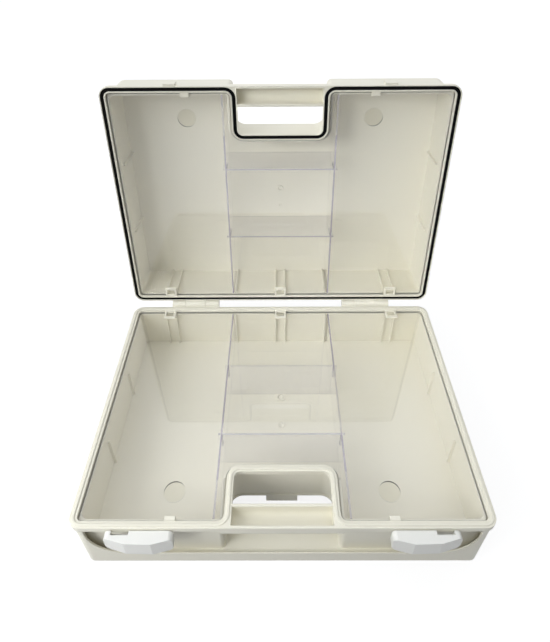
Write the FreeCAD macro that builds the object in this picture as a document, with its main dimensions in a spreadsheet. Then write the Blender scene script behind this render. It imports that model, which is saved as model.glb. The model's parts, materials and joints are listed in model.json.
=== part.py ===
"""A two-shell carry case with a seal, clear inner covers and clear dividers.

Each shell is drawn as an open tray in its own frame: the rim lies at z = 0 with the tray below it,
x runs across the case, and the handle is at the front, towards -y. The base stands upright. The lid
is the same tray turned over on the hinge and swung open. Millimetres throughout.
"""
import FreeCAD
import Part
import math
import os
import re
import Sketcher

DIMENSIONS = {
    # Rim and walls
    "flange_width": 400,
    "flange_depth": 295,
    "flange_corner": 12,
    "flange_thick": 6,
    "rim_land": 7,
    "wall_inset": 2.5,
    "floor_thick": 2.2,
    "lid_plate": 3,
    "inner_depth": 59,
    "base_height": 72,
    "hull_draft": 1.3,
    "lid_edge_round": 8,
    "pan_wall": 2.6,
    "skin_lap": 1.5,
    "rib_root": 1,
    "seam_gap": 0.3,
    # Recessed front
    "front_inset": 8.5,
    "chamber_wall": 2.5,
    "chamber_corner": 10,
    "cover_ledge": 1.5,
    "band_setback": 1,
    "band_wall": 2.6,
    "window_side": 13,
    "window_depth": 55,
    "window_corner": 37,
    # Hand opening and grip
    "notch_half": 48,
    "notch_depth": 55.5,
    "notch_corner": 6,
    "mouth_corner": 13.5,
    "floor_lip": 0.8,
    "grip_width": 23,
    "grip_depth": 17.5,
    "grip_round": 10,
    "grip_wall": 2.8,
    "tab_half": 17,
    # Seal
    "seal_inset": 3.2,
    "seal_width": 3.8,
    "seal_height": 3.3,
    "seal_recess": 0.9,
    "seal_clear": 0.15,
    "ridge_width": 2.4,
    "ridge_rise": 0.8,
    # Hinges
    "hinge_offset": 6,
    "hinge_side": 115,
    "hinge_length": 64,
    "base_knuckle": 18,
    "knuckle_radius": 5,
    "knuckle_gap": 0.3,
    "pin_radius": 2,
    "pin_clear": 0.05,
    "open_angle": 94.3,
    "heel_height": 2.8,
    "heel_root": 3,
    "stop_gap": 0.15,
    # Turn latches
    "latch_side": 67,
    "latch_drop": 13,
    "latch_half": 32,
    "latch_top": 10.5,
    "latch_bottom": 8.5,
    "latch_grip_end": 8,
    "latch_crest": 13,
    "latch_bow": 12.5,
    "latch_shoulder": 12,
    "latch_shoulder_bow": 11.8,
    "latch_end": 6.5,
    "latch_round": 5,
    "latch_gap": 0.5,
    "spindle_radius": 3,
    "spindle_clear": 0.05,
    "spindle_reach": 5.6,
    "boss_radius": 6.2,
    "slot_start": 9,
    "slot_end": 25.5,
    "slot_floor": 4,
    "slot_deep": 4,
    "lug_side": 85,
    "lug_width": 13,
    "lug_height": 12,
    "lug_proud": 2.6,
    # Clear covers and what holds them
    "cover_level": 3,
    "cover_thick": 2,
    "cover_clear": 0.6,
    "cover_front_clear": 1.6,
    "finger_hole": 10.5,
    "finger_side": 94.5,
    "finger_back": 36.5,
    "tab_width": 10,
    "tab_reach": 5,
    "tab_thick": 2.2,
    "hook_side": 50,
    "hook_width": 15,
    "hook_reach": 14,
    "hook_frame": 2.5,
    "hook_nose": 4,
    "hook_rib": 1.8,
    "hook_rib_reach": 4.5,
    "hold_clear": 0.2,
    # Clear dividers
    "divider_place": 65,
    "divider_thick": 2,
    "divider_clear": 0.4,
    "divider_foot": 0.2,
    "cross_rear": 100,
    "cross_front": 194,
    "ear_height": 20,
    "ear_proud": 2.5,
    "ear_clear": 0.2,
    "guide_place": 60.5,
    "guide_rib": 1.6,
    "guide_reach": 4.5,
    "guide_height": 40,
}

# Lengths that differ by less than this count as equal
NEAR = 0.001

document = FreeCAD.newDocument("carry_case")
sheet = document.addObject("Spreadsheet::Sheet", "Sizes")
for row, (alias, size) in enumerate(DIMENSIONS.items(), start=1):
    sheet.set(f"A{row}", alias)
    sheet.set(f"B{row}", str(size))
    sheet.setAlias(f"B{row}", alias)
document.recompute()


# Lines and levels that several pieces share, as formulas on the sheet
HALF_WIDTH = "flange_width / 2"
BACK = "flange_depth / 2"
FRONT = "-flange_depth / 2"
AXIS_Y = "flange_depth / 2 + hinge_offset"
AXIS_Z = "seam_gap / 2"
HULL_SIDE = "flange_width / 2 - wall_inset"
BAND_INNER = "-flange_depth / 2 + band_setback + band_wall"
CHAMBER_FRONT = "-flange_depth / 2 + front_inset"
GRIP_BACK = "-flange_depth / 2 + grip_width"
NOTCH_BACK = "-flange_depth / 2 + notch_depth"
COVER_UNDER = "cover_level + cover_thick"
BAY_HEIGHT = "inner_depth - cover_level - cover_thick"
HOLD_LEVEL = "-cover_level + hold_clear"
PIVOT_Z = "-latch_drop"
DIVIDER_LOW = "-inner_depth + divider_foot"
WELL_FRONT = "front_inset + chamber_wall"
WELL_SIDE = "rim_land + cover_ledge"
HINGE_INNER = "(flange_width / 2 - hinge_side)"
LATCH_PLACE = "(flange_width / 2 - latch_side)"
LUG_INNER = "(flange_width / 2 - lug_side)"
FINGER_PLACE = "(flange_width / 2 - finger_side)"
HOOK_PLACE = "(flange_width / 2 - hook_side)"


def on_sheet(formula):
    """The formula with each size pointed at its cell."""
    return re.sub(r"[a-z_]+", name_cell, formula)


def name_cell(match):
    word = match[0]
    return "Sizes." + word if word in DIMENSIONS else word


def value(formula):
    return float(sheet.evalExpression(on_sheet(formula)))


def bind(feature, name, formula):
    feature.setExpression(name, on_sheet(formula))


def minus(formula):
    return f"-({formula})"


def new_body(label):
    body = document.addObject("PartDesign::Body", label)
    body.Label = label
    return body


def add_sketch(body, name, plane, level="0"):
    """A sketch on one of the body's own planes, raised along that plane's normal."""
    sketch = body.newObject("Sketcher::SketchObject", name)
    support = [feature for feature in body.Origin.OriginFeatures if feature.Role == plane]
    sketch.AttachmentSupport = (support[0], "")
    sketch.MapMode = "FlatFace"
    bind(sketch, "AttachmentOffset.Base.z", level)
    return sketch


def add_dimension(sketch, constraint, formula):
    index = sketch.addConstraint(constraint)
    name = f"size_{index}"
    sketch.renameConstraint(index, name)
    bind(sketch, f"Constraints.{name}", formula)


def add_outline(sketch, sides, rounds=None):
    """A closed outline of upright and level sides in turn, the first upright, with rounded corners.

    Each side is the formula of its x or its y. Each round belongs to the corner where its side ends.
    """
    count = len(sides)
    rounds = rounds or [None] * count
    places = [value(side) for side in sides]
    corners = []
    for index in range(count):
        across, along = places[index], places[(index + 1) % count]
        x, y = (across, along) if index % 2 == 0 else (along, across)
        corners.append(FreeCAD.Vector(x, y, 0))
    ways = [(corners[index] - corners[index - 1]).normalize() for index in range(count)]
    radii = [value(formula) if formula else 0.0 for formula in rounds]
    lines = []
    for index in range(count):
        start = corners[index - 1] + ways[index] * radii[index - 1]
        end = corners[index] - ways[index] * radii[index]
        lines.append(sketch.addGeometry(Part.LineSegment(start, end)))
    for index, line in enumerate(lines):
        upright = index % 2 == 0
        sketch.addConstraint(Sketcher.Constraint("Vertical" if upright else "Horizontal", line))
        kind = "DistanceX" if upright else "DistanceY"
        place = Sketcher.Constraint(kind, -1, 1, line, 1, places[index])
        following = lines[(index + 1) % count]
        if radii[index] == 0.0:
            sketch.addConstraint(Sketcher.Constraint("Coincident", line, 2, following, 1))
        else:
            add_round(sketch, line, following, corners[index], ways[index], ways[(index + 1) % count],
                      radii[index], rounds[index])
        add_dimension(sketch, place, sides[index])


def add_round(sketch, line, following, corner, way, next_way, radius, formula):
    """A tangent arc from the end of one line to the start of the next."""
    centre = corner + (next_way - way) * radius
    first = math.atan2(-next_way.y, -next_way.x)
    last = math.atan2(way.y, way.x)
    left_turn = way.cross(next_way).z > 0
    angles = (first, last) if left_turn else (last, first)
    circle = Part.Circle(centre, FreeCAD.Vector(0, 0, 1), radius)
    arc = sketch.addGeometry(Part.ArcOfCircle(circle, *angles))
    start, end = (1, 2) if left_turn else (2, 1)
    sketch.addConstraint(Sketcher.Constraint("Tangent", line, 2, arc, start))
    sketch.addConstraint(Sketcher.Constraint("Tangent", arc, end, following, 1))
    add_dimension(sketch, Sketcher.Constraint("Radius", arc, radius), formula)


def add_rectangle(sketch, left, right, low, high, rounds=None):
    add_outline(sketch, [right, high, left, low], rounds)


def add_circle(sketch, x, y, radius):
    centre = FreeCAD.Vector(value(x), value(y), 0)
    circle = sketch.addGeometry(Part.Circle(centre, FreeCAD.Vector(0, 0, 1), value(radius)))
    add_dimension(sketch, Sketcher.Constraint("DistanceX", -1, 1, circle, 3, centre.x), x)
    add_dimension(sketch, Sketcher.Constraint("DistanceY", -1, 1, circle, 3, centre.y), y)
    add_dimension(sketch, Sketcher.Constraint("Radius", circle, value(radius)), radius)


def add_tray_outline(sketch, inset, front_round=None, side_inset=None):
    """The rim's line round the tray and the hand opening, moved inwards by the inset."""
    side = side_inset or inset
    corner = f"flange_corner - ({side})"
    front_corner = front_round or corner
    mouth = f"mouth_corner - ({inset})"
    inner = f"notch_corner + ({inset})"
    half = f"{HALF_WIDTH} - ({side})"
    notch = f"notch_half + ({inset})"
    front = f"{FRONT} + ({inset})"
    back = f"{BACK} - ({side})"
    notch_back = f"{NOTCH_BACK} + ({inset})"
    sides = [half, back, minus(half), front, minus(notch), notch_back, notch, front]
    add_outline(sketch, sides, [corner, corner, front_corner, mouth, inner, inner, mouth, front_corner])


def extrude(body, kind, sketch, length, reverse=False, taper=None):
    """Pad or pocket a sketch, and make sure that it changed the body's volume."""
    before = body.Shape.Volume if not body.Shape.isNull() else 0.0
    feature = body.newObject("PartDesign::" + kind, f"{sketch.Name}_{kind.lower()}")
    feature.Profile = sketch
    feature.Reversed = reverse
    bind(feature, "Length", length)
    if taper:
        bind(feature, "TaperAngle", taper)
    document.recompute()
    change = feature.Shape.Volume - before
    if change * (1 if kind == "Pad" else -1) <= 0:
        raise RuntimeError(f"{feature.Name} changes nothing")
    return feature


def round_edges(body, name, radius, wanted):
    """Round the edges of the body's last feature that the test picks."""
    base = body.Tip
    picked = [f"Edge{number}" for number, edge in enumerate(base.Shape.Edges, start=1) if wanted(edge)]
    feature = body.newObject("PartDesign::Fillet", name)
    feature.Base = (base, picked)
    bind(feature, "Radius", radius)
    document.recompute()


def place_in_base(piece):
    bind(piece, "Placement.Base.z", "base_height")


def place_in_lid(piece):
    """Turn a piece of the lid over on the hinge axis and swing it open."""
    lean = "vector(0; cos(open_angle / 2); -sin(open_angle / 2))"
    hinge = f"vector(0; {AXIS_Y}; {AXIS_Z})"
    bind(piece, "Placement", f"placement(vector(0; 0; base_height); rotation({lean}; 180); {hinge})")


# Shells


def add_hull(body, height, setback):
    """The drafted outer skin, solid, with its front set back behind the flange."""
    sketch = add_sketch(body, body.Name + "_hull", "XY_Plane")
    corner = "flange_corner - wall_inset"
    back = f"{BACK} - wall_inset"
    front = f"{FRONT} + {setback}"
    add_rectangle(sketch, minus(HULL_SIDE), HULL_SIDE, front, back, [corner] * 4)
    extrude(body, "Pad", sketch, height, reverse=True, taper="-hull_draft")


def add_front_recess(body):
    """The trough behind the front band, and the window in the band with its swept lower corners."""
    trough = add_sketch(body, body.Name + "_trough", "XY_Plane")
    side = f"{HULL_SIDE} - band_wall"
    corner = "flange_corner - wall_inset - band_wall"
    rear = f"{NOTCH_BACK} + mouth_corner"
    add_rectangle(trough, minus(side), side, BAND_INNER, rear, [None, None, corner, corner])
    extrude(body, "Pocket", trough, "inner_depth")
    window = add_sketch(body, body.Name + "_window", "XZ_Plane", minus(CHAMBER_FRONT))
    edge = f"{HALF_WIDTH} - window_side"
    add_rectangle(window, minus(edge), edge, "-window_depth", "0",
                  [None, None, "window_corner", "window_corner"])
    extrude(body, "Pocket", window, "front_inset", reverse=True)


def add_chamber(body, depth):
    """The tray behind the recess, the flange round it and the two-step cavity."""
    chamber = add_sketch(body, body.Name + "_chamber", "XY_Plane")
    add_tray_outline(chamber, "front_inset", "chamber_corner", "wall_inset + skin_lap")
    extrude(body, "Pad", chamber, depth, reverse=True)
    flange = add_sketch(body, body.Name + "_flange", "XY_Plane")
    add_rectangle(flange, minus(HALF_WIDTH), HALF_WIDTH, FRONT, BACK, ["flange_corner"] * 4)
    extrude(body, "Pad", flange, "flange_thick", reverse=True)
    root = "notch_half + front_inset + rib_root"
    grip = add_sketch(body, body.Name + "_grip", "YZ_Plane", minus(root))
    add_rectangle(grip, FRONT, GRIP_BACK, "-grip_depth", "0", [None, None, "grip_round", "grip_round"])
    extrude(body, "Pad", grip, f"2 * ({root})")
    well = add_sketch(body, body.Name + "_well", "XY_Plane", minus(COVER_UNDER))
    add_tray_outline(well, WELL_FRONT, "chamber_corner - chamber_wall", WELL_SIDE)
    extrude(body, "Pocket", well, BAY_HEIGHT)
    seat = add_sketch(body, body.Name + "_seat", "XY_Plane")
    add_tray_outline(seat, "rim_land")
    extrude(body, "Pocket", seat, COVER_UNDER)


def add_hand_opening(body):
    """The finger gap through the flange, and the hollow of the grip."""
    gap = add_sketch(body, body.Name + "_gap", "XY_Plane")
    add_rectangle(gap, "-notch_half", "notch_half", GRIP_BACK, NOTCH_BACK,
                  ["notch_corner", "notch_corner", None, None])
    extrude(body, "Pocket", gap, "flange_thick")
    hollow = add_sketch(body, body.Name + "_grip_hollow", "YZ_Plane", "-notch_half")
    inner_round = "grip_round - grip_wall"
    add_rectangle(hollow, f"{FRONT} + grip_wall", f"{GRIP_BACK} - grip_wall", "-grip_depth + grip_wall", "0",
                  [None, None, inner_round, inner_round])
    extrude(body, "Pocket", hollow, "2 * notch_half", reverse=True)


def add_cover_holders(body):
    """Front tabs and rear window hooks over the cover, with the ribs that stand under the hooks."""
    holders = add_sketch(body, body.Name + "_holders", "XY_Plane", HOLD_LEVEL)
    front_wall = f"{FRONT} + rim_land"
    back_wall = f"{BACK} - rim_land"
    for place in (minus(FINGER_PLACE), FINGER_PLACE):
        add_rectangle(holders, f"{place} - tab_width / 2", f"{place} + tab_width / 2",
                      f"{front_wall} - rib_root", f"{front_wall} + tab_reach")
    hooks = (minus(HOOK_PLACE), "0", HOOK_PLACE)
    pane = "(hook_width / 2 - hook_frame)"
    for place in hooks:
        add_rectangle(holders, f"{place} - hook_width / 2", f"{place} + hook_width / 2",
                      f"{back_wall} - hook_reach", f"{back_wall} + rib_root")
        add_rectangle(holders, f"{place} - {pane}", f"{place} + {pane}",
                      f"{back_wall} - hook_reach + hook_nose", f"{back_wall} - hook_frame")
    extrude(body, "Pad", holders, "tab_thick")
    ribs = add_sketch(body, body.Name + "_hook_ribs", "XY_Plane", "-inner_depth")
    for place in hooks:
        for left in (f"{place} - hook_width / 2", f"{place} + hook_width / 2 - hook_rib"):
            add_rectangle(ribs, left, f"{left} + hook_rib",
                          f"{back_wall} - hook_rib_reach", f"{back_wall} + rib_root")
    for left in ("-guide_place - guide_rib", "guide_place"):
        add_rectangle(ribs, left, f"{left} + guide_rib",
                      f"{back_wall} - guide_reach", f"{back_wall} + rib_root")
    extrude(body, "Pad", ribs, BAY_HEIGHT)
    guides = add_sketch(body, body.Name + "_side_ribs", "XY_Plane", "-inner_depth")
    wall = f"{HALF_WIDTH} - rim_land"
    for station in ("cross_rear", "cross_front"):
        low = f"{BACK} - {station} - guide_rib / 2"
        high = f"{BACK} - {station} + guide_rib / 2"
        add_rectangle(guides, f"{wall} - guide_reach", f"{wall} + rib_root", low, high)
        add_rectangle(guides, minus(f"{wall} + rib_root"), minus(f"{wall} - guide_reach"), low, high)
    extrude(body, "Pad", guides, "guide_height")


def add_knuckles(body, spans):
    """Hinge knuckles on both sides of the middle, joined to the flange by short arms and bored for a pin."""
    arms = add_sketch(body, body.Name + "_hinge_arms", "XY_Plane")
    both = spans + [(minus(f"{start} + {length}"), length) for start, length in spans]
    for start, length in both:
        add_rectangle(arms, start, f"{start} + {length}", f"{BACK} - rib_root", AXIS_Y)
    extrude(body, "Pad", arms, f"knuckle_radius - {AXIS_Z}", reverse=True)
    for number, (start, length) in enumerate(both):
        barrel = add_sketch(body, f"{body.Name}_barrel_{number}", "YZ_Plane", start)
        add_circle(barrel, AXIS_Y, AXIS_Z, "knuckle_radius")
        extrude(body, "Pad", barrel, length)
    bore = add_sketch(body, body.Name + "_pin_bore", "YZ_Plane", f"-{HINGE_INNER} - hinge_length")
    add_circle(bore, AXIS_Y, AXIS_Z, "pin_radius + pin_clear")
    extrude(body, "Pocket", bore, f"2 * ({HINGE_INNER} + hinge_length)", reverse=True)


def add_stop_heels(body, start, length):
    """Heels on the lid's knuckles that meet the base flange when the lid is open."""
    for number, edge in enumerate((start, minus(f"{start} + {length}"))):
        heel = add_sketch(body, f"{body.Name}_heel_{number}", "YZ_Plane", edge)
        bind(heel, "AttachmentOffset.Base.x", AXIS_Y)
        bind(heel, "AttachmentOffset.Base.y", AXIS_Z)
        heel.AttachmentOffset.Rotation.Axis = FreeCAD.Vector(0, 0, 1)
        bind(heel, "AttachmentOffset.Rotation.Angle", "90 - open_angle")
        add_rectangle(heel, "0", "heel_height", "heel_root", "hinge_offset - stop_gap")
        extrude(body, "Pad", heel, length)


def add_rim_ring(body, name, kind, width, tall):
    """A raised or sunk ring that follows the seal's line."""
    ring = add_sketch(body, name, "XY_Plane")
    add_tray_outline(ring, f"seal_inset - {width} / 2")
    add_tray_outline(ring, f"seal_inset + {width} / 2")
    extrude(body, kind, ring, tall)


def add_latch_bosses(body):
    """Blind bosses on the chamber's front wall that carry the latch spindles."""
    bosses = add_sketch(body, body.Name + "_bosses", "XZ_Plane", minus(f"{CHAMBER_FRONT} + rib_root"))
    for place in (minus(LATCH_PLACE), LATCH_PLACE):
        add_circle(bosses, place, PIVOT_Z, "boss_radius")
    extrude(body, "Pad", bosses, "front_inset + rib_root")
    bores = add_sketch(body, body.Name + "_boss_bores", "XZ_Plane", minus(FRONT))
    for place in (minus(LATCH_PLACE), LATCH_PLACE):
        add_circle(bores, place, PIVOT_Z, "spindle_radius + spindle_clear")
    extrude(body, "Pocket", bores, "spindle_reach + latch_gap")


def make_base_shell():
    body = new_body("base_shell")
    add_hull(body, "base_height", "band_setback")
    pan = add_sketch(body, "base_pan", "XY_Plane", "-base_height")
    foot = "wall_inset + base_height * tan(hull_draft) + pan_wall"
    front = f"{FRONT} + band_setback + base_height * tan(hull_draft) + pan_wall"
    side = f"{HALF_WIDTH} - ({foot})"
    add_rectangle(pan, minus(side), side, front, f"{BACK} - ({foot})", ["flange_corner / 2"] * 4)
    extrude(body, "Pocket", pan, "base_height - inner_depth - floor_thick", reverse=True)
    add_front_recess(body)
    add_chamber(body, "inner_depth + floor_thick / 2")
    add_hand_opening(body)
    wall = f"{NOTCH_BACK} + front_inset"
    floor = add_sketch(body, "base_gap_floor", "XY_Plane", "-inner_depth")
    reach = "notch_half + front_inset - floor_lip"
    corner = "notch_corner + front_inset"
    add_rectangle(floor, minus(reach), reach, GRIP_BACK, f"{wall} - floor_lip", [corner, corner, None, None])
    extrude(body, "Pocket", floor, "2 * floor_thick")
    tab = add_sketch(body, "base_gap_tab", "XY_Plane", "-inner_depth")
    add_rectangle(tab, "-tab_half", "tab_half", f"{wall} - floor_lip", f"{wall} + pan_wall")
    extrude(body, "Pad", tab, "base_height - inner_depth", reverse=True)
    add_cover_holders(body)
    add_rim_ring(body, "base_ridge", "Pad", "ridge_width", "ridge_rise")
    outer = f"{HINGE_INNER} + hinge_length - base_knuckle"
    add_knuckles(body, [(HINGE_INNER, "base_knuckle"), (outer, "base_knuckle")])
    add_latch_bosses(body)
    place_in_base(body)
    return body


def make_lid_shell():
    body = new_body("lid_shell")
    depth = "inner_depth + lid_plate"
    add_hull(body, depth, "front_inset")
    top = -value(depth)

    def is_top_edge(edge):
        return edge.BoundBox.ZMax < top + NEAR

    round_edges(body, "lid_edge", "lid_edge_round", is_top_edge)
    mouth = add_sketch(body, "lid_mouth", "XY_Plane")
    reach = "notch_half + mouth_corner"
    add_rectangle(mouth, minus(reach), reach, FRONT, f"{NOTCH_BACK} + mouth_corner")
    extrude(body, "Pocket", mouth, depth)
    add_chamber(body, depth)
    add_hand_opening(body)
    add_cover_holders(body)
    add_rim_ring(body, "lid_groove", "Pocket", "(seal_width + 2 * seal_clear)",
                 "seal_recess + seal_height + seal_clear")
    start = f"{HINGE_INNER} + base_knuckle + knuckle_gap"
    add_knuckles(body, [(start, "hinge_length - 2 * base_knuckle - 2 * knuckle_gap")])
    add_stop_heels(body, start, "hinge_length - 2 * base_knuckle - 2 * knuckle_gap")
    lugs = add_sketch(body, "lid_lugs", "XZ_Plane", minus(f"{FRONT} + rib_root"))
    for left in (LUG_INNER, f"-{LUG_INNER} - lug_width"):
        add_rectangle(lugs, left, f"{left} + lug_width", "-lug_height", "0")
    extrude(body, "Pad", lugs, "lug_proud + rib_root")
    place_in_lid(body)
    return body


# Seal, covers and dividers


def make_gasket():
    """A rubber strip laid in the lid's groove."""
    body = new_body("lid_gasket")
    strip = add_sketch(body, "seal_strip", "XY_Plane", "-seal_recess")
    for edge in ("seal_inset - seal_width / 2", "seal_inset + seal_width / 2"):
        add_tray_outline(strip, edge)
    extrude(body, "Pad", strip, "seal_height", reverse=True)
    place_in_lid(body)
    return body


def make_cover(half, place):
    """A clear sheet that drops inside the rim, with two finger holes."""
    body = new_body(half + "_cover")
    sheet_sketch = add_sketch(body, half + "_cover_outline", "XY_Plane", "-cover_level")
    add_tray_outline(sheet_sketch, "rim_land + cover_front_clear", None, "rim_land + cover_clear")
    for x in (minus(FINGER_PLACE), FINGER_PLACE):
        add_circle(sheet_sketch, x, f"{FRONT} + finger_back", "finger_hole")
    extrude(body, "Pad", sheet_sketch, "cover_thick", reverse=True)
    place(body)
    return body


def make_long_divider(half, side, centre, place):
    """A clear wall from front to back, notched from above for the ears of the cross walls."""
    label = f"{half}_divider_{side}"
    body = new_body(label)
    wall = add_sketch(body, label + "_wall", "YZ_Plane", f"{centre} - divider_thick / 2")
    front = f"{FRONT} + {WELL_FRONT} + divider_clear"
    back = f"{BACK} - ({WELL_SIDE} + divider_clear)"
    add_rectangle(wall, front, back, DIVIDER_LOW, minus(COVER_UNDER))
    extrude(body, "Pad", wall, "divider_thick")
    notches = add_sketch(body, label + "_notches", "YZ_Plane", f"{centre} - divider_thick / 2")
    wide = "(divider_thick / 2 + ear_clear)"
    for station in ("cross_rear", "cross_front"):
        middle = f"{BACK} - {station}"
        add_rectangle(notches, f"{middle} - {wide}", f"{middle} + {wide}",
                      f"-({COVER_UNDER}) - ear_height - ear_clear", "0")
    extrude(body, "Pocket", notches, "divider_thick", reverse=True)
    place(body)
    return body


def make_cross_divider(half, station, place):
    """A clear wall between the long ones, with an upper ear through each of them."""
    label = f"{half}_cross_divider_{station}"
    body = new_body(label)
    back = f"{BACK} - cross_{station}"
    wall = add_sketch(body, label + "_wall", "XZ_Plane", minus(f"{back} + divider_thick / 2"))
    reach = "divider_place - divider_thick / 2 - ear_clear"
    tip = "divider_place + divider_thick / 2 + ear_proud"
    top = minus(COVER_UNDER)
    low = f"{top} - ear_height"
    add_outline(wall, [reach, low, tip, top, minus(tip), low, minus(reach), DIVIDER_LOW])
    extrude(body, "Pad", wall, "divider_thick")
    place(body)
    return body


# Latches and pins


def make_latch(side):
    """A crested turn lever with a slot for the lid's lug and a spindle at its back."""
    body = new_body("latch_" + side)
    outward = 1 if side == "right" else -1
    profile = add_sketch(body, body.Name + "_lever", "XY_Plane", "-latch_bottom")
    add_lever_outline(profile, outward)
    extrude(body, "Pad", profile, "latch_top + latch_bottom")
    half = value("latch_half")

    def is_end_corner(edge):
        box = edge.BoundBox
        return abs(abs(box.Center.x) - half) < NEAR and box.ZLength < NEAR

    round_edges(body, body.Name + "_ends", "latch_round", is_end_corner)
    slot = add_sketch(body, body.Name + "_slot", "XZ_Plane")
    ends = ["slot_start", "slot_end"] if outward > 0 else ["-slot_end", "-slot_start"]
    add_rectangle(slot, ends[0], ends[1], "slot_floor", "latch_top + latch_gap")
    extrude(body, "Pocket", slot, "slot_deep", reverse=True)
    spindle = add_sketch(body, body.Name + "_spindle", "XZ_Plane")
    add_circle(spindle, "0", "0", "spindle_radius")
    extrude(body, "Pad", spindle, "latch_gap + spindle_reach", reverse=True)
    bind(body, "Placement.Base.x", LATCH_PLACE if outward > 0 else minus(LATCH_PLACE))
    bind(body, "Placement.Base.y", f"{FRONT} - latch_gap")
    bind(body, "Placement.Base.z", "base_height - latch_drop")
    return body


def add_lever_outline(sketch, outward):
    """The lever seen from above: a flat back, short ends, and a front of three flats with its crest inwards."""
    corners = [("latch_half", "0"), ("-latch_half", "0"), ("-latch_half", "-latch_grip_end"),
               ("-latch_crest", "-latch_bow"), ("latch_shoulder", "-latch_shoulder_bow"),
               ("latch_half", "-latch_end")]
    corners = [(x if outward > 0 else minus(x), y) for x, y in corners]
    points = [FreeCAD.Vector(value(x), value(y), 0) for x, y in corners]
    lines = [sketch.addGeometry(Part.LineSegment(points[index - 1], point))
             for index, point in enumerate(points)]
    for index, line in enumerate(lines):
        following = lines[(index + 1) % len(lines)]
        sketch.addConstraint(Sketcher.Constraint("Coincident", line, 2, following, 1))
    for line, point, (x, y) in zip(lines, points, corners):
        add_dimension(sketch, Sketcher.Constraint("DistanceX", -1, 1, line, 2, point.x), x)
        add_dimension(sketch, Sketcher.Constraint("DistanceY", -1, 1, line, 2, point.y), y)


def make_pin(side):
    pin = document.addObject("Part::Cylinder", "hinge_pin_" + side)
    pin.Label = "hinge_pin_" + side
    bind(pin, "Radius", "pin_radius")
    bind(pin, "Height", "hinge_length")
    start = HINGE_INNER if side == "right" else f"-{HINGE_INNER} - hinge_length"
    pin.Placement.Rotation = FreeCAD.Rotation(FreeCAD.Vector(0, 1, 0), 90)
    bind(pin, "Placement.Base.x", start)
    bind(pin, "Placement.Base.y", AXIS_Y)
    bind(pin, "Placement.Base.z", f"base_height + {AXIS_Z}")
    return pin


pieces = [make_base_shell(), make_lid_shell(), make_gasket()]
for half, place, left in (("base", place_in_base, "-divider_place"),
                          ("lid", place_in_lid, "divider_place")):
    pieces.append(make_cover(half, place))
    pieces.append(make_long_divider(half, "left", left, place))
    pieces.append(make_long_divider(half, "right", minus(left), place))
    for station in ("rear", "front"):
        pieces.append(make_cross_divider(half, station, place))
for side in ("left", "right"):
    pieces.append(make_latch(side))
    pieces.append(make_pin(side))
document.recompute()

for feature in document.Objects:
    if "Invalid" in feature.State or "Error" in feature.State:
        raise RuntimeError(f"{feature.Name} failed: {feature.State}")
for piece in pieces:
    if piece.Shape.isNull() or not piece.Shape.isValid():
        raise RuntimeError(f"{piece.Label} has no valid shape")

os.makedirs("parts", exist_ok=True)
for piece in pieces:
    piece.Shape.exportStep(f"parts/{piece.Label}.step")
    box = piece.Shape.BoundBox
    print(f"{piece.Label}: {len(piece.Shape.Solids)} solid, {piece.Shape.Volume / 1000:.1f} cm3, "
          f"{box.XLength:.1f} x {box.YLength:.1f} x {box.ZLength:.1f} mm")
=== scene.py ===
# %% [markdown]
# # A cream plastic carry case with clear covers
#
# The case comes from the CAD model: two moulded shells, clear covers and dividers, a black seal
# and two turn latches. Its shapes are already right, so this lesson is about finishes, light and
# a camera. We load the imported model first, because later steps read its pieces and its hinge.

# %% Load the case
import json
import math

import bmesh
import bpy
from mathutils import Euler, Matrix, Vector


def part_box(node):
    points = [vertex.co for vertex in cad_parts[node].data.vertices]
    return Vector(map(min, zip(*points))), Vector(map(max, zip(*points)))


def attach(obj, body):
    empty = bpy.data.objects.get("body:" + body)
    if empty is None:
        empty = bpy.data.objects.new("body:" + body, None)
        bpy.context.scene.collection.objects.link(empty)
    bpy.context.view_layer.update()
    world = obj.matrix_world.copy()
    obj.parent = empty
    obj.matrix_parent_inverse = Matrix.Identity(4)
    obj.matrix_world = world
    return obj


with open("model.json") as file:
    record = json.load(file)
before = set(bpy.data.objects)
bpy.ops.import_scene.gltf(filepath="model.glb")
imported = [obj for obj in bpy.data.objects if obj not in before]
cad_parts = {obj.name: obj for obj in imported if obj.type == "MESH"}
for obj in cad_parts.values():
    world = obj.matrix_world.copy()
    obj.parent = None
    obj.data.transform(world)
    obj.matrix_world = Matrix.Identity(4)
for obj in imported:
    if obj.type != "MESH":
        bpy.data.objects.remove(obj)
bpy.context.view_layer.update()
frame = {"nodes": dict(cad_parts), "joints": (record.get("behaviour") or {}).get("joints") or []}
nodes = frame["nodes"]
scene = bpy.context.scene
scene.view_settings.view_transform = "Standard"

# %% [markdown]
# ## Camera
#
# The picture looks down on the open case from a little above the lid, through a fairly wide lens.
# A camera has a place, three turns and a lens. The lens of this picture points at a spot above
# its middle, so the lens is shifted as well, in the way a view camera slides its back. The place
# is in metres, the sensor in millimetres, and the picture's own measures are in pixels.

# %% Place the camera
IMAGE_HEIGHT = 642
FOCAL_PIXELS = 519.6
AXIS_ROW = 237.6
SENSOR = 36.0
CAMERA_PLACE = Vector((-0.0032, -0.3792, 0.5688))
LOOK_DOWN = math.radians(35.75)
LOOK_RIGHT = math.radians(-0.38)
ROLL = math.radians(-0.45)

camera_data = bpy.data.cameras.new("picture_camera")
camera = bpy.data.objects.new("picture_camera", camera_data)
scene.collection.objects.link(camera)
camera_data.sensor_width = SENSOR
camera_data.lens = FOCAL_PIXELS / IMAGE_HEIGHT * SENSOR
camera_data.shift_y = (AXIS_ROW - IMAGE_HEIGHT / 2) / IMAGE_HEIGHT
level_turn = Euler((math.pi / 2 - LOOK_DOWN, 0, -LOOK_RIGHT)).to_matrix()
turn = level_turn @ Matrix.Rotation(ROLL, 3, "Z")
camera.matrix_world = Matrix.Translation(CAMERA_PLACE) @ turn.to_4x4()
scene.camera = camera
print("lens:", round(camera_data.lens, 2), "mm")

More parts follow.
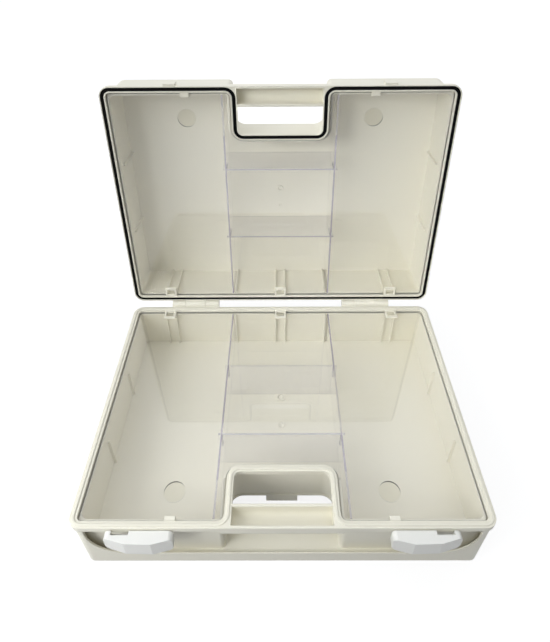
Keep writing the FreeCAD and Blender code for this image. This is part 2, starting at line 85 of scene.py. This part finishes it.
# %% [markdown]
# ## Small helpers for nodes
#
# A material is a tree of nodes. Writing each link by hand hides what the tree does, so a few
# helpers keep the later cells short. Most of them rest on one idea: a socket is fed either with
# a value or with another node's output, and the helper sees which of the two it was given.

# %% Write the node helpers
def feed_socket(tree, socket, given):
    """Set a socket to a value, or link it where it is given another node's output."""
    if isinstance(given, bpy.types.NodeSocket):
        tree.links.new(given, socket)
    else:
        socket.default_value = given


def feed(tree, node, **sockets):
    """Feed a node's sockets by name. An underscore stands for a space in the name."""
    for name, given in sockets.items():
        feed_socket(tree, node.inputs[name.replace("_", " ")], given)


def add_node(tree, kind, **sockets):
    node = tree.nodes.new(kind)
    feed(tree, node, **sockets)
    return node


def mix_node(tree, kind, factor, first, second):
    """Blend two colours (RGBA) or two numbers (FLOAT), and return the result's socket."""
    node = tree.nodes.new("ShaderNodeMix")
    node.data_type = kind
    feed(tree, node, Factor=factor, A=first, B=second)
    return node.outputs["Result"]


print("helpers:", feed_socket.__name__, feed.__name__, add_node.__name__, mix_node.__name__)

# %% [markdown]
# ## Moulded skin
#
# Moulded plastic is never one flat colour. It has a fine spark-eroded grain from the steel mould,
# faint flow clouds where it cooled unevenly, and a few rubbed spots that are shinier. The shells
# and the latches share this, so it is one group with its own amounts in each material. A group is
# a small tree with inputs and outputs of its own. Each of the three effects is a noise texture,
# at a scale that suits it.

# %% Open the moulded skin group
def start_group(name, inputs, outputs):
    """A shader group with its own ends. Inputs and outputs are given as name: socket type."""
    tree = bpy.data.node_groups.new(name, "ShaderNodeTree")
    for way, sockets in (("INPUT", inputs), ("OUTPUT", outputs)):
        for socket, kind in sockets.items():
            tree.interface.new_socket(socket, in_out=way, socket_type="NodeSocket" + kind)
    way_in, way_out = tree.nodes.new("NodeGroupInput"), tree.nodes.new("NodeGroupOutput")
    return tree, way_in.outputs, way_out


skin_group, skin_in, skin_out = start_group(
    "moulded_skin",
    {"Light tone": "Color", "Deep tone": "Color", "Cloud scale": "Float",
     "Grain scale": "Float", "Sheen low": "Float", "Sheen high": "Float"},
    {"Color": "Color", "Roughness": "Float", "Height": "Float"})
print("group:", skin_group.name, "takes", len(skin_in) - 1, "amounts")

# %% Fill the moulded skin group
RUB_SCALE = 38.0
RUB_START, RUB_END = 0.35, 0.65

place = add_node(skin_group, "ShaderNodeTexCoord").outputs["Object"]
clouds = add_node(skin_group, "ShaderNodeTexNoise", Vector=place,
                  Scale=skin_in["Cloud scale"], Detail=3.0, Roughness=0.55)
rubs = add_node(skin_group, "ShaderNodeTexNoise", Vector=place,
                Scale=RUB_SCALE, Detail=4.0, Roughness=0.7)
grain = add_node(skin_group, "ShaderNodeTexNoise", Vector=place,
                 Scale=skin_in["Grain scale"], Detail=2.0, Roughness=0.5)
tone = mix_node(skin_group, "RGBA", clouds.outputs["Fac"],
                skin_in["Deep tone"], skin_in["Light tone"])
sheen = add_node(skin_group, "ShaderNodeMapRange", Value=rubs.outputs["Fac"],
                 From_Min=RUB_START, From_Max=RUB_END,
                 To_Min=skin_in["Sheen low"], To_Max=skin_in["Sheen high"])
feed(skin_group, skin_out, Color=tone, Roughness=sheen.outputs["Result"],
     Height=grain.outputs["Fac"])
print("group:", skin_group.name, "with", len(skin_group.nodes), "nodes")

# %% [markdown]
# ## Cream plastic for the shells and latches
#
# The shells are a warm off-white with a satin face. The latches come from another mould and are
# a little whiter and glossier. The Principled shader describes most real surfaces, so it carries
# both. A Bevel node softens every sharp edge in the shading, because no moulded edge is truly
# sharp, and the grain's Bump sits on top of that softened normal.

# %% Make the moulded plastics
CLOUD_SCALE = 9.0
GRAIN_HEIGHT = 0.0002
EDGE_SAMPLES = 8
PLASTIC_IOR = 1.5


def new_material(name):
    material = bpy.data.materials.new(name)
    material.use_nodes = True
    return material, material.node_tree, material.node_tree.nodes["Principled BSDF"]


def use_group(tree, group, **sockets):
    """Place a group in a material with this material's amounts, and return its outputs."""
    node = tree.nodes.new("ShaderNodeGroup")
    node.node_tree = group
    feed(tree, node, **sockets)
    return node.outputs


def make_moulded(name, light, deep, grain_scale, grain_depth, sheen, edge_radius):
    material, tree, shader = new_material(name)
    skin = use_group(tree, skin_group, Light_tone=light, Deep_tone=deep,
                     Cloud_scale=CLOUD_SCALE, Grain_scale=grain_scale,
                     Sheen_low=sheen[0], Sheen_high=sheen[1])
    soft_edge = add_node(tree, "ShaderNodeBevel", Radius=edge_radius)
    soft_edge.samples = EDGE_SAMPLES
    bump = add_node(tree, "ShaderNodeBump", Strength=grain_depth, Distance=GRAIN_HEIGHT,
                    Height=skin["Height"], Normal=soft_edge.outputs["Normal"])
    feed(tree, shader, Base_Color=skin["Color"], Roughness=skin["Roughness"],
         Normal=bump.outputs["Normal"], IOR=PLASTIC_IOR)
    return material


shell_plastic = make_moulded(
    "shell_plastic", light=(0.86, 0.83, 0.715, 1), deep=(0.82, 0.785, 0.65, 1),
    grain_scale=1400.0, grain_depth=0.05, sheen=(0.33, 0.41), edge_radius=0.0010)
latch_plastic = make_moulded(
    "latch_plastic", light=(0.84, 0.835, 0.79, 1), deep=(0.81, 0.80, 0.75, 1),
    grain_scale=900.0, grain_depth=0.02, sheen=(0.29, 0.33), edge_radius=0.0008)
print("plastics:", shell_plastic.name, "and", latch_plastic.name)

# %% [markdown]
# ## Clear sheet
#
# The covers and dividers are polished clear sheet. Light runs along inside a sheet and leaves at
# its cut edges, which is why the edges look dark or violet while the faces almost vanish. True
# refraction would turn the thin walls black wherever a ray is caught inside them, so the sheet is
# made of two simple layers: a faint tinted film that lets most light through, and a mirror gloss
# that grows towards grazing views.
#
# A group finds the cut edges by comparing the surface with the sheet's flat direction, and makes
# the film denser there. The colour of that dense film is partly the sheet's own violet tint and
# partly painted shade for the light caught inside the sheet. The foot of a wall, where no light
# gets out, stays faint.

# %% Open the sheet edge group
def math_node(tree, operation, first, second=0.0):
    node = tree.nodes.new("ShaderNodeMath")
    node.operation = operation
    feed_socket(tree, node.inputs[0], first)
    feed_socket(tree, node.inputs[1], second)
    return node.outputs["Value"]


def dot_node(tree, first, second):
    """How far one direction points along another: 1 is the same way, -1 the opposite way."""
    node = tree.nodes.new("ShaderNodeVectorMath")
    node.operation = "DOT_PRODUCT"
    feed_socket(tree, node.inputs[0], first)
    feed_socket(tree, node.inputs[1], second)
    return node.outputs["Value"]


edge_group, edge_in, edge_out = start_group(
    "sheet_edge",
    {"Flat": "Vector", "Up": "Vector", "Face": "Color", "Cut": "Color",
     "Face film": "Float", "Cut film": "Float"},
    {"Color": "Color", "Film": "Float"})
print("group:", edge_group.name, "takes", len(edge_in) - 1, "amounts")

# %% Fill the sheet edge group
TURNED_AWAY = 0.7

surface_way = add_node(edge_group, "ShaderNodeTexCoord").outputs["Normal"]
flatness = math_node(edge_group, "ABSOLUTE", dot_node(edge_group, surface_way, edge_in["Flat"]))
is_cut = math_node(edge_group, "LESS_THAN", flatness, TURNED_AWAY)
upness = dot_node(edge_group, surface_way, edge_in["Up"])
not_foot = math_node(edge_group, "GREATER_THAN", upness, -TURNED_AWAY)
is_edge = math_node(edge_group, "MULTIPLY", is_cut, not_foot)
# On the cut edges the film takes the painted edge shade, over the sheet's violet tint.
feed(edge_group, edge_out,
     Color=mix_node(edge_group, "RGBA", is_edge, edge_in["Face"], edge_in["Cut"]),
     Film=mix_node(edge_group, "FLOAT", is_edge, edge_in["Face film"], edge_in["Cut film"]))
print("group:", edge_group.name, "with", len(edge_group.nodes), "nodes")

# %% [markdown]
# A ray meets a sheet twice, at the face in front and, from inside, at the face behind. The gloss
# lies on the front face alone, with an index high enough to stand for the mirrors of both. The
# film is thinner where it is met from inside, so that the near side of a finger hole doesn't
# cover the far side.

# %% Write the clear sheet
WHITE = (1, 1, 1, 1)
SHEET_FACE = (0.76, 0.74, 0.83, 1)
SHEET_GLOSS = 1.78
SEEN_FROM_INSIDE = 0.10
FILM_ROUGHNESS = 0.1
POLISH_ROUGHNESS = 0.02


def make_clear(name, flat, up, face_film, cut, cut_film):
    material, tree, shader = new_material(name)
    edge = use_group(tree, edge_group, Flat=flat, Up=up, Face=SHEET_FACE, Cut=cut,
                     Face_film=face_film, Cut_film=cut_film)
    behind = tree.nodes.new("ShaderNodeNewGeometry").outputs["Backfacing"]
    ahead = math_node(tree, "SUBTRACT", 1.0, behind)
    shown = math_node(tree, "MAXIMUM", ahead, SEEN_FROM_INSIDE)
    feed(tree, shader, Base_Color=edge["Color"], Roughness=FILM_ROUGHNESS,
         Alpha=math_node(tree, "MULTIPLY", edge["Film"], shown))
    gloss = add_node(tree, "ShaderNodeBsdfAnisotropic", Color=WHITE, Roughness=POLISH_ROUGHNESS)
    grazing = add_node(tree, "ShaderNodeFresnel", IOR=SHEET_GLOSS)
    mix = tree.nodes.new("ShaderNodeMixShader")
    amount = math_node(tree, "MULTIPLY", grazing.outputs["Fac"], ahead)
    for socket, given in zip(mix.inputs, (amount, shader.outputs["BSDF"], gloss.outputs["BSDF"])):
        feed_socket(tree, socket, given)
    feed(tree, tree.nodes["Material Output"], Surface=mix.outputs["Shader"])
    return material


print("clear sheet with a gloss index of", SHEET_GLOSS)

# %% [markdown]
# The lid is the base's tray turned over and swung open. That is the same as half a turn about an
# axis midway between the two, so one matrix carries the base's directions and places to the lid.
# Each kind of sheet then gets one finish for the base and one for the lid. A ray may cross many
# faces of clear sheet before it meets a tray, so the limit on such crossings is raised.

# %% Find how the lid lies
hinge = next(joint for joint in frame["joints"] if joint["name"] == "lid_hinge")
open_angle = math.radians(hinge["range_deg"][1])
midway = Vector((0, math.cos(open_angle / 2), -math.sin(open_angle / 2)))
lid_turn = Matrix.Rotation(math.pi, 4, midway)
print("the lid shuts in", round(math.degrees(open_angle), 1), "degrees")

# %% Make the clear sheets
# Cut colours: painted edge shade for light caught in the sheet, over the sheet's violet tint.
COVER_CUT = (0.012, 0.010, 0.022, 1)
WALL_CUT = (0.32, 0.28, 0.37, 1)
CROSS_CUT = (0.43, 0.40, 0.44, 1)
ACROSS, ALONG, UP = Vector((1, 0, 0)), Vector((0, 1, 0)), Vector((0, 0, 1))
FACES_CROSSED = 32

sheets = {
    "cover": (UP, {"face_film": 0.02, "cut": COVER_CUT, "cut_film": 1.0}),
    "divider": (ACROSS, {"face_film": 0.10, "cut": WALL_CUT, "cut_film": 0.75}),
    "cross_divider": (ALONG, {"face_film": 0.17, "cut": CROSS_CUT, "cut_film": 0.75})}
clear_sheets = {}
for kind, (flat, film) in sheets.items():
    for half, swing in (("base", Matrix.Identity(3)), ("lid", lid_turn.to_3x3())):
        clear_sheets[f"{half}_{kind}"] = make_clear(
            f"clear_{half}_{kind}", flat=swing @ flat, up=swing @ UP, **film)
scene.cycles.transparent_max_bounces = FACES_CROSSED
print("clear sheets:", list(clear_sheets))

# %% [markdown]
# ## Seal and pins
#
# The seal is soft black rubber with a dusty bloom, so it is dark but not pure black and its
# roughness wanders. The hinge pins are drawn steel, with fine lines along their length, which is
# a noise that is stretched along the pin. A colour ramp turns each noise into two near tones.

# %% Make the rubber
BLOOM_SCALE = 220.0
RUBBER_DARK, RUBBER_DUSTY = (0.001, 0.001, 0.001, 1), (0.005, 0.005, 0.005, 1)


def two_tones(tree, amount, low, high):
    """Turn a noise into tones between two colours."""
    ramp = add_node(tree, "ShaderNodeValToRGB", Fac=amount)
    for stop, tone in zip(ramp.color_ramp.elements, (low, high)):
        stop.color = tone
    return ramp.outputs["Color"]


seal_rubber, tree, shader = new_material("seal_rubber")
place = add_node(tree, "ShaderNodeTexCoord").outputs["Object"]
bloom = add_node(tree, "ShaderNodeTexNoise", Scale=BLOOM_SCALE, Detail=3.0, Vector=place)
dull = add_node(tree, "ShaderNodeMapRange", Value=bloom.outputs["Fac"], To_Min=0.45, To_Max=0.7)
rubber_tone = two_tones(tree, bloom.outputs["Fac"], RUBBER_DARK, RUBBER_DUSTY)
feed(tree, shader, Base_Color=rubber_tone, Roughness=dull.outputs["Result"],
     Specular_IOR_Level=0.05)
print("seal:", seal_rubber.name)

# %% Make the steel
LINES_ALONG, LINES_ACROSS = 8.0, 900.0
STEEL_DARK, STEEL_BRIGHT = (0.42, 0.42, 0.43, 1), (0.62, 0.62, 0.62, 1)

pin_steel, tree, shader = new_material("pin_steel")
place = add_node(tree, "ShaderNodeTexCoord").outputs["Object"]
stretch = add_node(tree, "ShaderNodeMapping", Vector=place,
                   Scale=(LINES_ALONG, LINES_ACROSS, LINES_ACROSS))
lines = add_node(tree, "ShaderNodeTexNoise", Scale=1.0, Detail=2.0,
                 Vector=stretch.outputs["Vector"])
steel_tone = two_tones(tree, lines.outputs["Fac"], STEEL_DARK, STEEL_BRIGHT)
feed(tree, shader, Base_Color=steel_tone, Metallic=1.0, Roughness=0.32)
print("pins:", pin_steel.name)

# %% [markdown]
# ## Dress the CAD pieces
#
# Each CAD piece keeps its mesh and takes a finish in its own material slot. The names say what
# each piece is, so a short rule picks the finish.

# %% Give every piece its finish
def finish_for(name):
    half, _, rest = name.partition("_")
    if rest == "cover":
        return clear_sheets[name]
    if "divider" in rest:
        kind = "cross_divider" if rest.startswith("cross") else "divider"
        return clear_sheets[f"{half}_{kind}"]
    if rest == "gasket":
        return seal_rubber
    if half == "latch":
        return latch_plastic
    return pin_steel if half == "hinge" else shell_plastic


for name, node in nodes.items():
    node.material_slots[0].material = finish_for(name)
print({name: node.material_slots[0].material.name for name, node in nodes.items()})

# %% [markdown]
# ## Gate marks
#
# Hot plastic enters a mould through a gate, and the trimmed gate leaves a small ring with a
# dimple on the floor of each tray. Beside it is the faint disc of an ejector pin. Both are tiny,
# but the eye finds them in the large plain floors. A bump in the plastic could draw them, but a
# mesh also reaches the exported model. Each is a disc that is raised a little, with its middle
# inset and pushed back down.

# %% Find the tray floors
DIVIDER_FOOT = 0.0002

tray_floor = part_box("base_divider_left")[0].z - DIVIDER_FOOT
hinge_place = Vector(hinge["pos_m"])


def in_base(y):
    """A spot on the middle line of the base's tray floor."""
    return Matrix.Translation((0, y, tray_floor))


def in_lid(y):
    """The same spot of the lid's tray, which is the base's tray turned over on the hinge."""
    to_hinge = Matrix.Translation(hinge_place)
    return to_hinge @ lid_turn @ to_hinge.inverted() @ in_base(y)


print("tray floor at", round(tray_floor, 4), "m")

# %% Make the gate marks
MARK_SIDES = 32
LIP_SHARE = 0.35
SLOPE_SHARE = 0.12


def make_mark(name, body, spot, radius, height, dimple):
    mesh = bmesh.new()
    bmesh.ops.create_circle(mesh, cap_ends=True, segments=MARK_SIDES, radius=radius)
    raised = bmesh.ops.extrude_face_region(mesh, geom=list(mesh.faces))
    top = [item for item in raised["geom"] if isinstance(item, bmesh.types.BMFace)]
    bmesh.ops.translate(mesh, vec=(0, 0, height), verts=list(top[0].verts))
    bmesh.ops.inset_region(mesh, faces=top, thickness=radius * LIP_SHARE, depth=0.0)
    bmesh.ops.inset_region(mesh, faces=top, thickness=radius * SLOPE_SHARE, depth=-dimple)
    bmesh.ops.recalc_face_normals(mesh, faces=mesh.faces)
    bmesh.ops.transform(mesh, matrix=spot, verts=mesh.verts)
    data = bpy.data.meshes.new(name)
    mesh.to_mesh(data)
    mesh.free()
    piece = bpy.data.objects.new(name, data)
    scene.collection.objects.link(piece)
    data.materials.append(shell_plastic)
    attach(piece, body)
    return piece


marks = [
    make_mark("base_gate_mark", "base", in_base(0.0425), radius=0.0065, height=0.0010,
              dimple=0.0009),
    make_mark("base_pin_mark", "base", in_base(0.0016), radius=0.0050, height=0.0003,
              dimple=0.0002),
    make_mark("lid_gate_mark", "lid", in_lid(0.0043), radius=0.0045, height=0.0012,
              dimple=0.0010),
    make_mark("lid_pin_mark", "lid", in_lid(0.0300), radius=0.0025, height=0.0005,
              dimple=0.0003)]
print("marks:", [mark.name for mark in marks])

# %% [markdown]
# ## Floor
#
# The case stands on a white sweep with nothing round it. A floor that is truly white would throw
# much light up at the case. So this one has a low colour of its own, and a glow brings it to
# white only for the rays that show the background: those from the camera, from gloss and through
# glass. The case's shadow falls on the low colour, and stays as faint as it is on a white sweep.

# %% Lay the floor
FLOOR_HALF = 6.0
FLOOR_TONE = (0.20, 0.20, 0.20, 1)
FLOOR_GLOW = 0.84


def seen_directly(tree):
    """1 for the rays that show the background, and 0 for those that light the case."""
    path = tree.nodes.new("ShaderNodeLightPath").outputs
    gloss = math_node(tree, "MAXIMUM", path["Is Camera Ray"], path["Is Glossy Ray"])
    return math_node(tree, "MAXIMUM", gloss, path["Is Transmission Ray"])


floor_mesh = bmesh.new()
bmesh.ops.create_grid(floor_mesh, x_segments=1, y_segments=1, size=FLOOR_HALF)
floor_data = bpy.data.meshes.new("floor")
floor_mesh.to_mesh(floor_data)
floor_mesh.free()
floor = bpy.data.objects.new("floor", floor_data)
scene.collection.objects.link(floor)
floor_white, tree, shader = new_material("floor_white")
glow = math_node(tree, "MULTIPLY", seen_directly(tree), FLOOR_GLOW)
feed(tree, shader, Base_Color=FLOOR_TONE, Roughness=0.9, Emission_Color=WHITE,
     Emission_Strength=glow)
floor_data.materials.append(floor_white)
print("floor:", 2 * FLOOR_HALF, "m wide")

# %% [markdown]
# ## World and lamps
#
# The world shows white to the same rays. To all others it gives a soft light that is strongest
# overhead, a little stronger from the back and the left, and weak from the front, so tops are
# bright and the front falls into a light grey. The slope of that light is one dot product of the
# ray's direction with the way the light comes from.

# %% Light the world
ROOM_LEVEL = 0.30
ROOM_SLOPE = (-0.05, 0.28, 0.62)
ROOM_TONE = (0.965, 0.995, 1.04, 1)
DARKEST = 0.02

world = bpy.data.worlds.new("soft_room")
world.use_nodes = True
scene.world = world
tree = world.node_tree
ray_way = tree.nodes.new("ShaderNodeTexCoord").outputs["Generated"]
level = math_node(tree, "ADD", dot_node(tree, ray_way, ROOM_SLOPE), ROOM_LEVEL)
lit = tree.nodes["Background"]
feed(tree, lit, Color=ROOM_TONE, Strength=math_node(tree, "MAXIMUM", level, DARKEST))
white = add_node(tree, "ShaderNodeBackground", Color=WHITE, Strength=1.0)
mix = tree.nodes.new("ShaderNodeMixShader")
for socket, given in zip(mix.inputs, (seen_directly(tree), lit.outputs["Background"],
                                      white.outputs["Background"])):
    feed_socket(tree, socket, given)
feed(tree, tree.nodes["World Output"], Surface=mix.outputs["Shader"])
print("world:", world.name, "with", len(tree.nodes), "nodes")

# %% [markdown]
# Four soft lamps shape that light: a window high on the left, a small card that brightens the
# left end of the front, a card aimed into the open lid, and one behind. The two small cards have
# a narrow spread, like a softbox with a grid, so each lights one place only. The lamp behind
# leaves no highlight, because at its low angle that would burn out the lid's hand opening.

# %% Hang the lamps
def add_lamp(name, spot, aim, size, watts, spread, colour):
    data = bpy.data.lights.new(name, "AREA")
    data.size = size
    data.energy = watts
    data.spread = math.radians(spread)
    data.color = colour
    lamp = bpy.data.objects.new(name, data)
    lamp.location = spot
    lamp.rotation_euler = (Vector(aim) - Vector(spot)).to_track_quat("-Z", "Y").to_euler()
    scene.collection.objects.link(lamp)
    return lamp


add_lamp("window", spot=(-1.05, -0.6, 0.9), aim=(0, 0.02, 0.1), size=0.7, watts=7.4,
         spread=180, colour=(0.965, 0.99, 1.02))
add_lamp("side_card", spot=(-0.45, -0.40, 0.22), aim=(-0.15, -0.15, 0.05), size=0.2, watts=0.11,
         spread=70, colour=(0.97, 0.985, 1.0))
add_lamp("lid_card", spot=(-0.5, -0.75, 0.75), aim=(0.12, 0.16, 0.20), size=0.3, watts=0.24,
         spread=40, colour=(0.97, 0.99, 1.0))
back_card = add_lamp("back_card", spot=(0, 1.3, 0.45), aim=(0, 0.2, 0.2), size=0.4, watts=2.6,
                     spread=180, colour=(0.98, 0.99, 1.0))
back_card.visible_glossy = False

# %% [markdown]
# ## Finish
#
# The last cell names the file the case was read from.

# %% Name the file the case came from
print("boxes written to", file.name)
